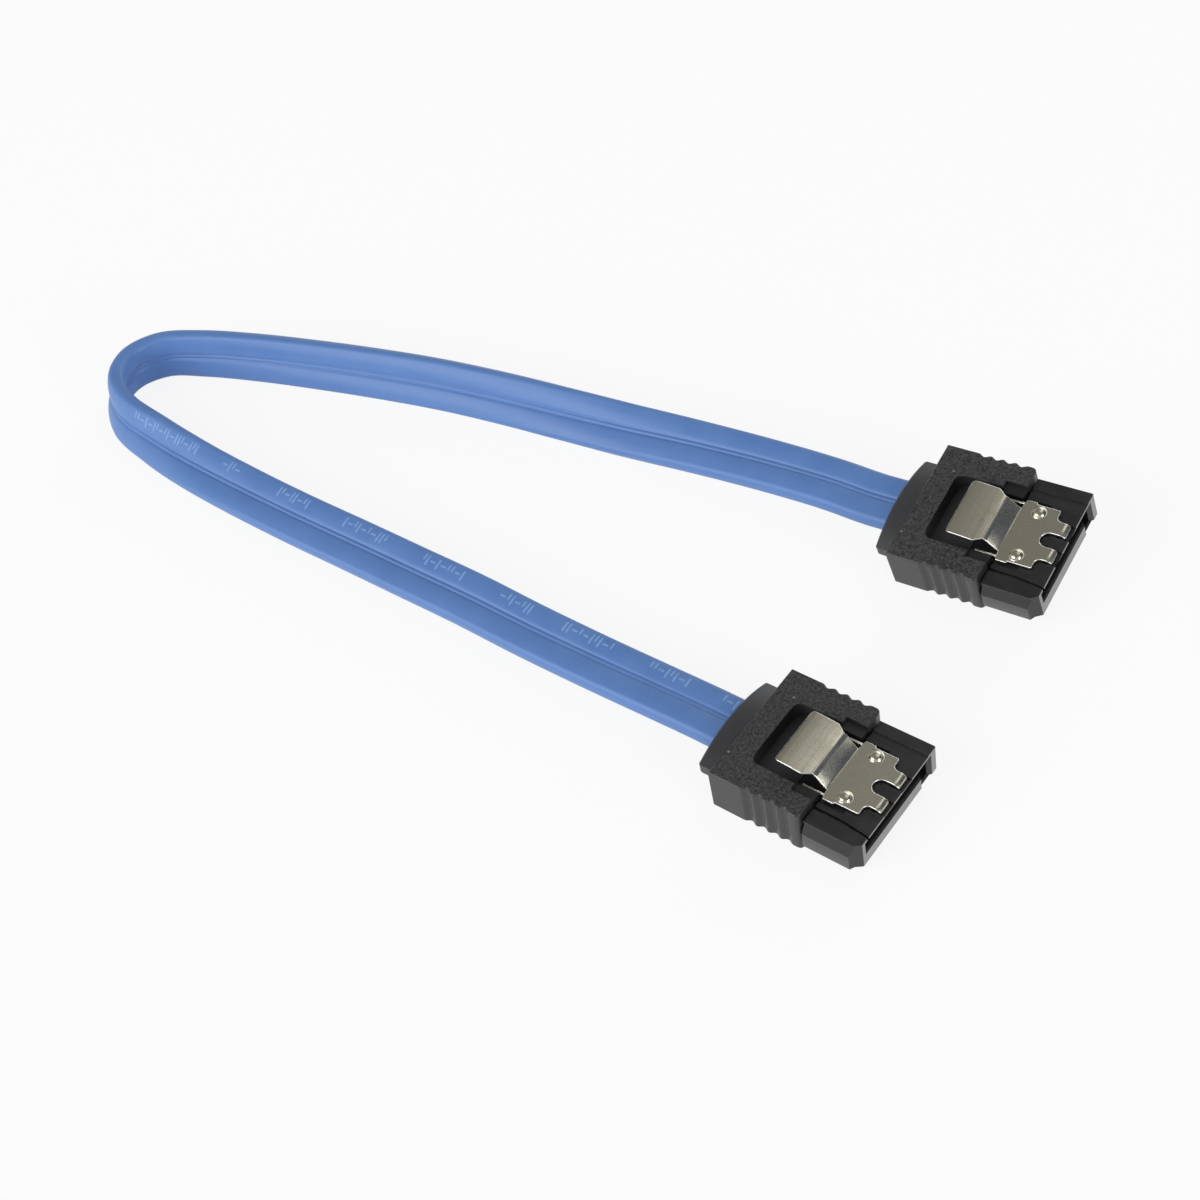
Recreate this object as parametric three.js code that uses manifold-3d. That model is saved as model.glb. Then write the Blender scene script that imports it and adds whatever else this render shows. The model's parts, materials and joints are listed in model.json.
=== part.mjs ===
// A short serial data cable for a disk drive: a flat two-core ribbon with a straight seven-way
// receptacle on each end. Every receptacle has a plastic nose with an L-shaped slot, a soft grip
// moulded round the joint, and a sprung steel latch that is pressed with a thumb.
//
// Units are millimetres and +Z is up. Both plugs are drawn in one local frame: x = 0 is the front
// face of the grip, +x is the direction of plugging in, y = 0 the middle of the grip and z = 0 its
// underside. The whole cable lies on z = 0, with the origin in the middle of the near plug's underside.
import * as THREE from "three";
import { mergeVertices } from "three/addons/utils/BufferGeometryUtils.js";
import Module from "manifold-3d";

const wasm = await Module();
wasm.setup();

// Grip block and the oval boss that the ribbon leaves by
const gripLength = 10.5;
const gripWidth = 15;
const gripHeight = 5.5;
const gripEdge = 0.12;
const gripCornerRadius = 0.6;
const gripWall = 1.1;
const gripFloor = 0.9;
const gripRearWall = 1.1;
const fingerGrooves = 4;
const fingerPitch = 1.43;
const fingerDepth = 0.3;
const fingerFrontMargin = 1.05;
const bossLength = 2.6;
const bossWidth = 12;
const bossMiddleHeight = 3.95;
const bossEndHeight = 1.2;
const bossEdge = 0.4;

// Window in the top of the grip, where the thumb lever sits
const windowWidth = 8.5;
const windowRear = 7.75;
const windowCorner = 1.1;
const windowFloorDepth = 1.75;
const postWindowWidth = 10.1;
const postWindowLength = 2.45;

// Nose of the contact housing
const noseLength = 6.45;
const noseWidth = 13.9;
const noseBottom = 1;
const noseHeight = 3.55;
const noseShift = -0.1; // nose and latch sit a little towards the plain end of the slot
const noseEdge = 0.12;
const noseFrontRadius = 0.15;
const noseGap = 0.2; // groove between the front of the grip and the nose
const noseCornerLength = 0.7; // the upper part is cut back at one front corner only
const noseCornerDepth = 0.55;
const ledgeWidth = 14.9;
const ledgeHeight = 2;
const ledgeSlope = 0.95;
const leadIn = 1;
const platformWidth = 11;
const platformDepth = 0.13;
const gutterWidth = 0.3;
const gutterDepth = 0.14;
const gutterInset = 0.4; // from the edge of the flat to the middle of the gutter
const housingBaseLength = 3;
const postWidth = 1.23;
const postHeight = 1.3;

// L-shaped slot for the drive's contact blade
const slotWidth = 11.2;
const slotShift = -0.02;
const slotHeight = 1.3;
const slotDepth = 6.1;
const slotRoof = 0.6;
const slotLeadDepth = 0.4;
const slotLeadSide = 0.42;
const slotLeadRise = 0.2;
const keyWidth = 1.15;
const keyHeight = 2.7;
const keyLeadDrop = 0.5; // enough for the mouth of the leg to break the lower edge of the nose

// Contacts, one stamped blade in each of seven channels
const contactCount = 7;
const contactPitch = 1.27;
const contactShift = -0.9; // the row sits away from the key leg
const contactWidth = 0.6;
const contactThickness = 0.2;
const contactRise = 0.25;
const contactTail = 2;
const channelWidth = 0.8;
const channelDepth = 0.65;

// Wire ends inside the grip: two pairs of cores and three bare drain wires
const coreDiameter = 0.8;
const drainDiameter = 0.4;
const tunnelSize = 1;
const tunnelLength = 2.9;
const signalContacts = [1, 2, 4, 5];
const pairOffset = 1.65;
const corePitch = 0.9;
const drainOffset = 2.8;

// Latch, folded from one steel sheet
const latchThickness = 0.25;
const latchLift = 0.2; // running clearance under the plate at rest
const latchSinkDepth = 0.22; // extra room behind the plate's middle, for the press
const latchSinkLength = 3;
const plateWidth = 7.5;
const plateRear = 0.3;
const plateFront = 4.4;
const wingWidth = 7.94;
const wingLength = 1.35;
const tongueInner = 0.83;
const tongueOuter = 2.46;
const tongueReach = 5.95;
const tongueDrop = 0.4;
const tongueCorner = 0.22;
const tongueFold = 0.4;
const notchDepth = 0.75;
const notchHalfWidth = 0.95;
const notchRadius = 0.65;
const earRadius = 0.35;
const earNotchRadius = 0.5;
const leverNeckWidth = 5.7;
const leverPadWidth = 6.9;
const leverRise = 1.53;
const leverRampLength = 1.6;
const leverReach = 5.5;
const leverClimb = 0.34; // rise of the pad from the ramp to its rear edge
const leverCurl = 0.14;
const rampFold = 0.35;
const padFold = 0.75;
const bumpX = 2.3;
const bumpSpacing = 5.6;
const bumpDiameter = 1.6;
const bumpHeight = 0.48;
const flangeLength = 2.1;
const flangeDrop = 0.37;
const flangeSpacing = 6.95;
const tonguePocketFloor = 0.2;
const rimNotchDepth = 0.15; // the rim of the nose is lower in front of each tongue

// Clearances between pieces that fit into each other
const fitClearance = 0.1;
const postClearance = 0.02;
const endGap = 0.3;

// Flat ribbon
const ribbonWidth = 6.3;
const ribbonThickness = 2.2;
const ribbonGroove = 0.3;
const ribbonRimHeight = 1.1;
const ribbonCrownInset = 0.45;
const ribbonSteps = 80;

// Pose of the far plug: it rests on one lower edge, a little rolled and nose up
const farPlugX = -0.25;
const farPlugY = 34.4;
const farPlugRoll = 11;
const farPlugPitch = -4.4;
const farPlugHeading = 2.9;

// Levels and stations that follow from the sizes above
const cableLevel = gripHeight / 2;
const windowFloor = gripHeight - windowFloorDepth;
const noseTop = noseBottom + noseHeight;
const platformLevel = noseTop - platformDepth;
const slotTop = noseTop - slotRoof;
const slotFloor = slotTop - slotHeight;
const channelFloor = slotFloor - channelDepth;
const contactLevel = channelFloor + contactThickness;
const bossRear = -gripLength - bossLength;
const cavityRear = -gripLength + gripRearWall;
const cavityHalfWidth = gripWidth / 2 - gripWall;
const housingRear = -housingBaseLength;
const tailEnd = housingRear - contactTail;
const plateUnderside = platformLevel + latchLift;
const plateTop = plateUnderside + latchThickness;

// Materials
const colours = {
  grip: { color: 0x2f3031, roughness: 0.75, metalness: 0 },
  housing: { color: 0x242526, roughness: 0.45, metalness: 0 },
  innerMould: { color: 0x3a3a3c, roughness: 0.7, metalness: 0 },
  contact: { color: 0xd9b25c, roughness: 0.3, metalness: 1 },
  latch: { color: 0xa7a498, roughness: 0.32, metalness: 1 },
  ribbon: { color: 0x4f7fc4, roughness: 0.5, metalness: 0 },
  core: { color: 0xe9e6dc, roughness: 0.5, metalness: 0 },
  drain: { color: 0xc9ccd0, roughness: 0.35, metalness: 1 },
};

// Solids: three.js geometry in, manifold solid for the cuts and joins, three.js geometry out
function solidFrom(geometry) {
  const source = geometry.clone();
  source.deleteAttribute("normal");
  source.deleteAttribute("uv");
  const merged = mergeVertices(source, 1e-4);
  const mesh = new wasm.Mesh({
    numProp: 3,
    vertProperties: new Float32Array(merged.getAttribute("position").array),
    triVerts: new Uint32Array(merged.index.array),
  });
  return new wasm.Manifold(mesh);
}

function geometryFrom(solid) {
  const mesh = solid.getMesh();
  const geometry = new THREE.BufferGeometry();
  const positions = new Float32Array(mesh.vertProperties);
  geometry.setAttribute("position", new THREE.BufferAttribute(positions, 3));
  geometry.setIndex(new THREE.BufferAttribute(new Uint32Array(mesh.triVerts), 1));
  return geometry;
}

function joined(solids) {
  return solids.reduce((whole, solid) => whole.add(solid));
}

// A box between two corners
function box(x0, x1, y0, y1, z0, z1) {
  const geometry = new THREE.BoxGeometry(x1 - x0, y1 - y0, z1 - z0);
  geometry.translate((x0 + x1) / 2, (y0 + y1) / 2, (z0 + z1) / 2);
  return solidFrom(geometry);
}

function shapeOf(points) {
  return new THREE.Shape(points.map(([x, y]) => new THREE.Vector2(x, y)));
}

// A plan outline, in x and y, raised from z0 to z1
function raised(shape, z0, z1, curveSegments = 6) {
  const geometry = new THREE.ExtrudeGeometry(shape, { depth: z1 - z0, bevelEnabled: false, curveSegments });
  geometry.translate(0, 0, z0);
  return solidFrom(geometry);
}

// A side outline, in x and z, swept across from y0 to y1
function swept(shape, y0, y1) {
  const geometry = new THREE.ExtrudeGeometry(shape, { depth: y1 - y0, bevelEnabled: false, curveSegments: 6 });
  geometry.rotateX(Math.PI / 2);
  geometry.translate(0, y1, 0);
  return solidFrom(geometry);
}

// An end outline, in y and z, drawn out from x0 to x1, with an optional bevel at x0
function drawnOut(shape, x0, x1, bevel = 0) {
  const geometry = new THREE.ExtrudeGeometry(shape, {
    depth: x1 - x0 - bevel,
    bevelEnabled: bevel > 0,
    bevelThickness: bevel,
    bevelSize: bevel,
    bevelOffset: -bevel,
    bevelSegments: 3,
    curveSegments: 10,
  });
  geometry.rotateX(Math.PI / 2);
  geometry.rotateZ(Math.PI / 2);
  geometry.translate(x0 + bevel, 0, 0);
  return solidFrom(geometry);
}

// A box whose front face, at x1, is larger than its rear face by the given amounts on each side
function mouthBox(x0, x1, y0, y1, z0, z1, grow) {
  const geometry = new THREE.BoxGeometry(x1 - x0, y1 - y0, z1 - z0);
  const positions = geometry.getAttribute("position");
  for (let i = 0; i < positions.count; i += 1) {
    if (positions.getX(i) < 0) continue;
    const [y, z] = [positions.getY(i), positions.getZ(i)];
    positions.setY(i, y + Math.sign(y) * grow.side);
    positions.setZ(i, z > 0 ? z + grow.up : z - grow.down);
  }
  geometry.translate((x0 + x1) / 2, (y0 + y1) / 2, (z0 + z1) / 2);
  return solidFrom(geometry);
}

// A line of x, z points with a radius at each; every inner corner is rounded off by a short curve
function filleted(points, steps = 5) {
  const corners = points.map(([x, z, r]) => ({ at: new THREE.Vector2(x, z), radius: r ?? 0 }));
  const line = [corners[0].at];
  corners.slice(1, -1).forEach(({ at, radius }, i) => {
    const before = corners[i].at.clone().sub(at).setLength(radius).add(at);
    const after = corners[i + 2].at.clone().sub(at).setLength(radius).add(at);
    line.push(...new THREE.QuadraticBezierCurve(before, at, after).getPoints(steps));
  });
  line.push(corners.at(-1).at);
  return line.map((point) => [point.x, point.y]);
}

// Outline of a strip of sheet that follows a line of points, its thickness added above the line
function stripOutline(points, thickness) {
  const line = points.map(([x, y]) => new THREE.Vector2(x, y));
  const upper = line.map((point, i) => {
    const before = line[Math.max(i - 1, 0)];
    const after = line[Math.min(i + 1, line.length - 1)];
    const along = after.clone().sub(before).normalize();
    const side = new THREE.Vector2(along.y, -along.x);
    return point.clone().addScaledVector(side, side.y > 0 ? thickness : -thickness);
  });
  return new THREE.Shape([...line, ...upper.reverse()]);
}

// Grip

// Plan of the grip: square at the rear, rounded at the front, finger grooves along both sides
function gripPlan() {
  const half = gripWidth / 2;
  const grooveFront = -fingerFrontMargin;
  const grooveRear = grooveFront - fingerGrooves * fingerPitch;
  const perGroove = 8;
  const side = [[-gripLength, half], [grooveRear, half]];
  for (let i = 1; i < fingerGrooves * perGroove; i += 1) {
    const x = grooveRear + (i / perGroove) * fingerPitch;
    const wave = (1 - Math.cos((2 * Math.PI * i) / perGroove)) / 2;
    side.push([x, half - fingerDepth * wave]);
  }
  side.push([grooveFront, half]);
  const outline = shapeOf(side);
  outline.lineTo(-gripCornerRadius, half);
  outline.quadraticCurveTo(0, half, 0, half - gripCornerRadius);
  outline.lineTo(0, -half + gripCornerRadius);
  outline.quadraticCurveTo(0, -half, -gripCornerRadius, -half);
  side.reverse().forEach(([x, y]) => outline.lineTo(x, -y));
  outline.closePath();
  return outline;
}

function gripBlock() {
  const geometry = new THREE.ExtrudeGeometry(gripPlan(), {
    depth: gripHeight - 2 * gripEdge,
    bevelEnabled: true,
    bevelThickness: gripEdge,
    bevelSize: gripEdge,
    bevelOffset: -gripEdge,
    bevelSegments: 1,
    curveSegments: 5,
  });
  geometry.translate(0, 0, gripEdge);
  return solidFrom(geometry);
}

// End view of the boss: crowned above and below, with short upright ends
function bossOutline() {
  const half = bossWidth / 2;
  const end = bossEndHeight / 2;
  const crown = bossMiddleHeight - end;
  const outline = new THREE.Shape();
  outline.moveTo(-half, cableLevel - end);
  outline.quadraticCurveTo(0, cableLevel - crown, half, cableLevel - end);
  outline.lineTo(half, cableLevel + end);
  outline.quadraticCurveTo(0, cableLevel + crown, -half, cableLevel + end);
  outline.closePath();
  return outline;
}

// Plan of the window: round at its rear corners, wider at the front where the two posts stand
function windowPlan() {
  const half = windowWidth / 2;
  const wide = postWindowWidth / 2;
  const outline = new THREE.Shape();
  outline.moveTo(-windowRear + windowCorner, -half);
  outline.lineTo(-postWindowLength, -half);
  outline.lineTo(-postWindowLength, -wide);
  outline.lineTo(gripEdge, -wide);
  outline.lineTo(gripEdge, wide);
  outline.lineTo(-postWindowLength, wide);
  outline.lineTo(-postWindowLength, half);
  outline.lineTo(-windowRear + windowCorner, half);
  outline.quadraticCurveTo(-windowRear, half, -windowRear, half - windowCorner);
  outline.lineTo(-windowRear, -half + windowCorner);
  outline.quadraticCurveTo(-windowRear, -half, -windowRear + windowCorner, -half);
  return outline;
}

function grip() {
  const boss = drawnOut(bossOutline(), bossRear, -gripLength + gripEdge, bossEdge);
  const cavity = box(cavityRear, 1, -cavityHalfWidth, cavityHalfWidth, gripFloor, windowFloor);
  const opening = raised(windowPlan(), windowFloor - fitClearance, gripHeight + 1);
  const passageHalf = drainOffset + drainDiameter / 2 + fitClearance;
  const passageBottom = cableLevel - tunnelSize / 2;
  const passageTop = cableLevel + tunnelSize / 2;
  const wirePassage = box(bossRear - 1, cavityRear + 1, -passageHalf, passageHalf, passageBottom, passageTop);
  return gripBlock().add(boss).subtract(cavity).subtract(opening).subtract(wirePassage);
}

// Contact housing

// The nose in an end view: a narrow upper part above a ledge whose upright sides slope in to it
function noseOutline() {
  const half = ledgeWidth / 2;
  const inner = noseWidth / 2;
  const ledge = noseBottom + ledgeHeight;
  const profile = [[half, noseBottom], [half, ledge], [inner, ledge + ledgeSlope], [inner, noseTop]];
  const mirrored = profile.map(([y, z]) => [-y, z]).reverse();
  return shapeOf([...profile, ...mirrored]);
}

// Plan of the nose: both front corners of the ledge are cut back as a lead-in, and at one of them
// the cut goes on into the upper part
function nosePlan() {
  const half = ledgeWidth / 2;
  const inner = noseWidth / 2;
  return shapeOf([
    [noseGap, -half],
    [noseLength - leadIn, -half],
    [noseLength - noseCornerLength, -inner],
    [noseLength - noseEdge, -inner + noseCornerDepth - noseEdge],
    [noseLength, -inner + noseCornerDepth],
    [noseLength, inner - 0.05],
    [noseLength - 0.05, inner],
    [noseLength - leadIn, half],
    [noseGap, half],
  ]);
}

// Side view of the nose, its upper front edge rounded over
function noseSide() {
  const outline = new THREE.Shape();
  outline.moveTo(0, noseBottom - 1);
  outline.lineTo(noseLength, noseBottom - 1);
  outline.lineTo(noseLength, noseTop - noseFrontRadius);
  outline.quadraticCurveTo(noseLength, noseTop, noseLength - noseFrontRadius, noseTop);
  outline.lineTo(0, noseTop);
  outline.closePath();
  return outline;
}

// Shallow flat on top for the latch to lie in. A gutter follows its edge on the side away from the
// key leg, and runs out over the shoulder towards the front.
function latchFlat() {
  const half = platformWidth / 2;
  const flat = box(-1, noseLength + 1, -half, half, platformLevel, noseTop + 1);
  const [inner, bend, runOut] = [gutterInset - gutterWidth / 2, noseLength / 2, noseLength + 0.1];
  const gutter = shapeOf([
    [-1, inner - half],
    [bend, inner - half],
    [runOut, -half - gutterWidth / 2],
    [runOut, -half + gutterWidth / 2],
    [bend, inner + gutterWidth - half],
    [-1, inner + gutterWidth - half],
  ]);
  const cut = flat.add(raised(gutter, platformLevel - gutterDepth, noseTop + 1));
  return cut.translate([0, -noseShift, 0]);
}

function noseBody() {
  const half = ledgeWidth / 2;
  const body = drawnOut(noseOutline(), 0, noseLength)
    .intersect(raised(nosePlan(), 0, noseTop + 1))
    .intersect(swept(noseSide(), -half, half));
  return body.subtract(latchFlat()).translate([0, noseShift, 0]);
}

// The slot in an end view: a long blade opening with the key leg at its far end
function slotOutline() {
  const half = slotWidth / 2;
  return shapeOf([
    [slotShift - half, slotTop],
    [slotShift - half, slotFloor],
    [slotShift + half - keyWidth, slotFloor],
    [slotShift + half - keyWidth, slotTop - keyHeight],
    [slotShift + half, slotTop - keyHeight],
    [slotShift + half, slotTop],
  ]);
}

// The slot and its key leg, each with a mouth that leads the blade in
function slotCut() {
  const half = slotWidth / 2;
  const blade = drawnOut(slotOutline(), noseLength - slotDepth, noseLength + 1);
  const start = noseLength - slotLeadDepth;
  const grow = { side: slotLeadSide, up: slotLeadRise, down: slotLeadRise };
  const mouth = mouthBox(start, noseLength, slotShift - half, slotShift + half, slotFloor, slotTop, grow);
  const legStart = slotShift + half - keyWidth;
  const legGrow = { side: slotLeadSide, up: 0, down: keyLeadDrop };
  const leg = mouthBox(start, noseLength, legStart, slotShift + half, slotTop - keyHeight, slotFloor, legGrow);
  return joined([blade, mouth, leg]);
}

function contactY(index) {
  return (index - (contactCount - 1) / 2) * contactPitch + slotShift + contactShift;
}

// Channels that the contacts lie in: deep under the slot, so that the beams can bend, and shallow
// from there back through the housing
function contactChannels() {
  const half = channelWidth / 2;
  const deepFront = noseLength - 1.1;
  const cuts = [];
  for (let i = 0; i < contactCount; i += 1) {
    const y = contactY(i);
    cuts.push(box(noseLength - slotDepth, deepFront, y - half, y + half, channelFloor, slotFloor + 0.1));
    cuts.push(box(housingRear - 1, deepFront, y - half, y + half, channelFloor, contactLevel + fitClearance));
  }
  return joined(cuts);
}

// Posts that stand up in the grip's window, one each side of the latch
function housingPosts() {
  const outer = postWindowWidth / 2 - postClearance;
  const top = windowFloor + postHeight;
  const rear = -postWindowLength + postClearance;
  return [-1, 1].map((side) => {
    const y0 = side > 0 ? outer - postWidth : -outer;
    return box(rear, 0, y0, y0 + postWidth, windowFloor - 1, top);
  });
}

// Room under the plate for the latch to be pressed, and the pockets that its tongues turn in
function latchRoom() {
  const half = wingWidth / 2 + endGap;
  const sink = box(-1, latchSinkLength, -half, half, platformLevel - latchSinkDepth, noseTop + 1);
  const pocketFloor = slotTop + tonguePocketFloor;
  const pocketRear = tongueReach - 0.95;
  const pocketFront = tongueReach + latchThickness + fitClearance;
  const pockets = [-1, 1].flatMap((side) => {
    const near = side > 0 ? tongueInner - fitClearance : -tongueOuter - fitClearance;
    const far = near + tongueOuter - tongueInner + 2 * fitClearance;
    return [
      box(pocketRear, pocketFront, near, far, pocketFloor, noseTop + 1),
      box(pocketRear, noseLength + 1, near, far, platformLevel - rimNotchDepth, noseTop + 1),
    ];
  });
  return joined([sink, ...pockets]).translate([0, noseShift, 0]);
}

function contactHousing() {
  const baseHalf = cavityHalfWidth - fitClearance;
  const baseTop = windowFloor - fitClearance;
  const base = box(housingRear, 0, -baseHalf, baseHalf, gripFloor + fitClearance, baseTop);
  const neck = box(-0.5, noseGap + 0.5, -baseHalf, baseHalf, noseBottom, baseTop);
  const solid = joined([noseBody().subtract(latchRoom()), base, neck, ...housingPosts()]);
  return solid.subtract(slotCut()).subtract(contactChannels());
}

// Contacts

// Side view of a contact: flat tail, rising beam, rounded touching point and a tip that dips again
function contactGeometry(index) {
  const level = channelFloor + fitClearance / 2;
  const touch = slotFloor + contactRise - contactThickness;
  const tip = noseLength - 1.35;
  const line = [
    [tailEnd, level],
    [noseLength - slotDepth + 0.6, level],
    [tip - 1.5, touch - 0.12],
    [tip - 1.1, touch],
    [tip - 0.7, touch - 0.1],
    [tip, level + 0.05],
  ];
  const y = contactY(index);
  return geometryFrom(swept(stripOutline(line, contactThickness), y - contactWidth / 2, y + contactWidth / 2));
}

// Inner mould: the hard block round the solder joints. The wire ends come in through a wide chamber
// at the back, and each one meets its contact in a tunnel of its own.
function innerMould() {
  const half = cavityHalfWidth - fitClearance;
  const rear = cavityRear + fitClearance;
  const front = housingRear - fitClearance;
  const body = box(rear, front, -half, half, gripFloor + fitClearance, windowFloor - fitClearance);
  const s = tunnelSize / 2;
  const z = wireLevel();
  const widest = contactY(0) - s;
  const chamber = box(rear - 1, front - tunnelLength, widest, -widest, z - s, cableLevel + s);
  const tunnels = [];
  for (let i = 0; i < contactCount; i += 1) {
    const y = contactY(i);
    tunnels.push(box(rear, front + 1, y - s, y + s, z - s, z + s));
  }
  return body.subtract(chamber).subtract(joined(tunnels));
}

function wireLevel() {
  return channelFloor + fitClearance / 2 + contactThickness / 2;
}

// A round rod along a line of points
function rod(points, diameter, sides) {
  const path = new THREE.CatmullRomCurve3(points.map(([x, y, z]) => new THREE.Vector3(x, y, z)));
  const section = new THREE.Shape();
  for (let i = 0; i < sides; i += 1) {
    const angle = (2 * Math.PI * i) / sides;
    const x = (diameter / 2) * Math.cos(angle);
    const y = (diameter / 2) * Math.sin(angle);
    if (i === 0) section.moveTo(x, y);
    else section.lineTo(x, y);
  }
  section.closePath();
  return new THREE.ExtrudeGeometry(section, { steps: 14, extrudePath: path, bevelEnabled: false });
}

// Where each wire lies across the ribbon: a pair of cores in each half, a drain wire at each edge
// and one in the middle
function gatheredY(index) {
  const middle = (contactCount - 1) / 2;
  const steps = Math.abs(index - middle);
  const offsets = [0, pairOffset - corePitch / 2, pairOffset + corePitch / 2, drainOffset];
  return Math.sign(index - middle) * offsets[steps];
}

// A wire end runs back through its tunnel and gathers into the ribbon's own width
function wireGeometry(index, diameter) {
  const y = contactY(index);
  const gatherFrom = housingRear - tunnelLength - 0.3;
  const gatherTo = cavityRear - 0.1;
  const points = [[tailEnd - 0.2, y, wireLevel()]];
  const steps = 6;
  for (let i = 0; i <= steps; i += 1) {
    const part = THREE.MathUtils.smoothstep(i / steps, 0, 1);
    points.push([
      THREE.MathUtils.lerp(gatherFrom, gatherTo, i / steps),
      THREE.MathUtils.lerp(y, gatheredY(index), part),
      THREE.MathUtils.lerp(wireLevel(), cableLevel, part),
    ]);
  }
  points.push([bossRear + fitClearance, gatheredY(index), cableLevel]);
  return rod(points, diameter, 8);
}

// Latch

// Plan of the flat plate with its wings, ears, front tongues and the round notch between them
function platePlan() {
  const half = plateWidth / 2;
  const wing = wingWidth / 2;
  const wingFront = plateRear + wingLength;
  const ear = earRadius;
  const notch = earNotchRadius;
  const tongueRoot = tongueReach - 2 * tongueFold;
  const outline = new THREE.Shape();
  outline.moveTo(plateRear, -half + 0.4);
  outline.lineTo(plateRear + 0.15, -wing);
  outline.lineTo(wingFront, -wing);
  outline.lineTo(wingFront + 0.1, -half);
  outline.lineTo(plateFront - ear, -half);
  outline.quadraticCurveTo(plateFront, -half, plateFront, -half + ear);
  outline.lineTo(plateFront, -tongueOuter - notch);
  outline.quadraticCurveTo(plateFront, -tongueOuter, plateFront + notch, -tongueOuter);
  outline.lineTo(tongueRoot, -tongueOuter);
  outline.lineTo(tongueRoot, -tongueInner);
  const notchRear = plateFront - notchDepth;
  outline.lineTo(notchRear + notchRadius, -notchHalfWidth);
  outline.quadraticCurveTo(notchRear, -notchHalfWidth, notchRear, notchRadius - notchHalfWidth);
  outline.lineTo(notchRear, notchHalfWidth - notchRadius);
  outline.quadraticCurveTo(notchRear, notchHalfWidth, notchRear + notchRadius, notchHalfWidth);
  outline.lineTo(tongueRoot, tongueInner);
  outline.lineTo(tongueRoot, tongueOuter);
  outline.lineTo(plateFront + notch, tongueOuter);
  outline.quadraticCurveTo(plateFront, tongueOuter, plateFront, tongueOuter + notch);
  outline.lineTo(plateFront, half - ear);
  outline.quadraticCurveTo(plateFront, half, plateFront - ear, half);
  outline.lineTo(wingFront + 0.1, half);
  outline.lineTo(wingFront, wing);
  outline.lineTo(plateRear + 0.15, wing);
  outline.lineTo(plateRear, half - 0.4);
  outline.closePath();
  return outline;
}

// Side view of the lever, from the fold in the plate up the ramp to the thumb pad and its curled edge
function leverLine() {
  const z = plateUnderside;
  const padStart = plateRear - leverRampLength;
  const padEnd = plateRear - leverReach + 0.3;
  return filleted([
    [plateRear + rampFold + 0.1, z],
    [plateRear, z, rampFold],
    [padStart, z + leverRise, padFold],
    [padEnd, z + leverRise + leverClimb, 0.3],
    [plateRear - leverReach - 0.05, z + leverRise + leverClimb - leverCurl],
  ]);
}

// Plan of the lever: a neck that widens to the pad, with round rear corners
function leverPlan() {
  const neck = leverNeckWidth / 2;
  const pad = leverPadWidth / 2;
  const widenAt = plateRear - leverRampLength - 0.1;
  const rear = plateRear - leverReach - 0.2;
  const corner = 0.45;
  const outline = new THREE.Shape();
  outline.moveTo(plateRear + 0.5, -neck);
  outline.lineTo(plateRear + 0.5, neck);
  outline.lineTo(widenAt, neck);
  outline.lineTo(widenAt - 0.95, pad);
  outline.lineTo(rear + corner, pad);
  outline.quadraticCurveTo(rear, pad, rear, pad - corner);
  outline.lineTo(rear, -pad + corner);
  outline.quadraticCurveTo(rear, -pad, rear + corner, -pad);
  outline.lineTo(widenAt - 0.95, -pad);
  outline.lineTo(widenAt, -neck);
  outline.closePath();
  return outline;
}

function lever() {
  const half = leverPadWidth / 2 + 0.5;
  const folded = swept(stripOutline(leverLine(), latchThickness), -half, half);
  return folded.intersect(raised(leverPlan(), 0, 20));
}

// Each tongue curls down at the front of the nose, where the latch turns
function tongue(side) {
  const z = plateUnderside;
  const line = filleted([
    [tongueReach - 2.5 * tongueFold, z],
    [tongueReach - 0.7 * tongueFold, z, tongueFold],
    [tongueReach - 0.05, z - tongueDrop],
  ]);
  const y0 = side > 0 ? tongueInner : -tongueOuter;
  const y1 = y0 + tongueOuter - tongueInner;
  return swept(stripOutline(line, latchThickness), y0, y1).intersect(raised(tonguePlan(y0, y1), 0, 20));
}

function tonguePlan(y0, y1) {
  const [rear, front] = [tongueReach - 3 * tongueFold, tongueReach + latchThickness];
  const outline = new THREE.Shape();
  outline.moveTo(rear, y0);
  outline.lineTo(front - tongueCorner, y0);
  outline.quadraticCurveTo(front, y0, front, y0 + tongueCorner);
  outline.lineTo(front, y1 - tongueCorner);
  outline.quadraticCurveTo(front, y1, front - tongueCorner, y1);
  outline.lineTo(rear, y1);
  outline.closePath();
  return outline;
}

// A catch that snaps into the socket: a round dome pressed up from the plate
function catchDome(side) {
  const radius = bumpDiameter / 2;
  const profile = [new THREE.Vector2(0, -latchThickness / 2), new THREE.Vector2(radius, -latchThickness / 2)];
  const rings = 6;
  for (let i = 0; i <= rings; i += 1) {
    const angle = (i / rings) * (Math.PI / 2);
    profile.push(new THREE.Vector2(i === rings ? 0 : radius * Math.cos(angle), bumpHeight * Math.sin(angle)));
  }
  const geometry = new THREE.LatheGeometry(profile, 24);
  geometry.rotateX(Math.PI / 2);
  geometry.translate(bumpX, (side * bumpSpacing) / 2, plateTop);
  return solidFrom(geometry);
}

// Upright flange beside the lever, which guides the latch between the housing's posts
function flange(side) {
  const y = (side * flangeSpacing) / 2;
  const t = latchThickness / 2;
  const strip = box(-flangeLength, -0.1, y - t, y + t, plateUnderside - flangeDrop, plateTop);
  const root = box(-0.2, plateRear + 0.3, y - t, y + t, plateUnderside, plateTop);
  return strip.add(root);
}

function latch() {
  const plate = raised(platePlan(), plateUnderside, plateTop);
  const pieces = [plate, lever()];
  [-1, 1].forEach((side) => pieces.push(tongue(side), catchDome(side), flange(side)));
  return joined(pieces).translate([0, noseShift, 0]);
}

// Assembly of one plug
function named(name, geometry, look) {
  const mesh = new THREE.Mesh(geometry, new THREE.MeshStandardMaterial(colours[look]));
  mesh.name = name;
  return mesh;
}

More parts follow.
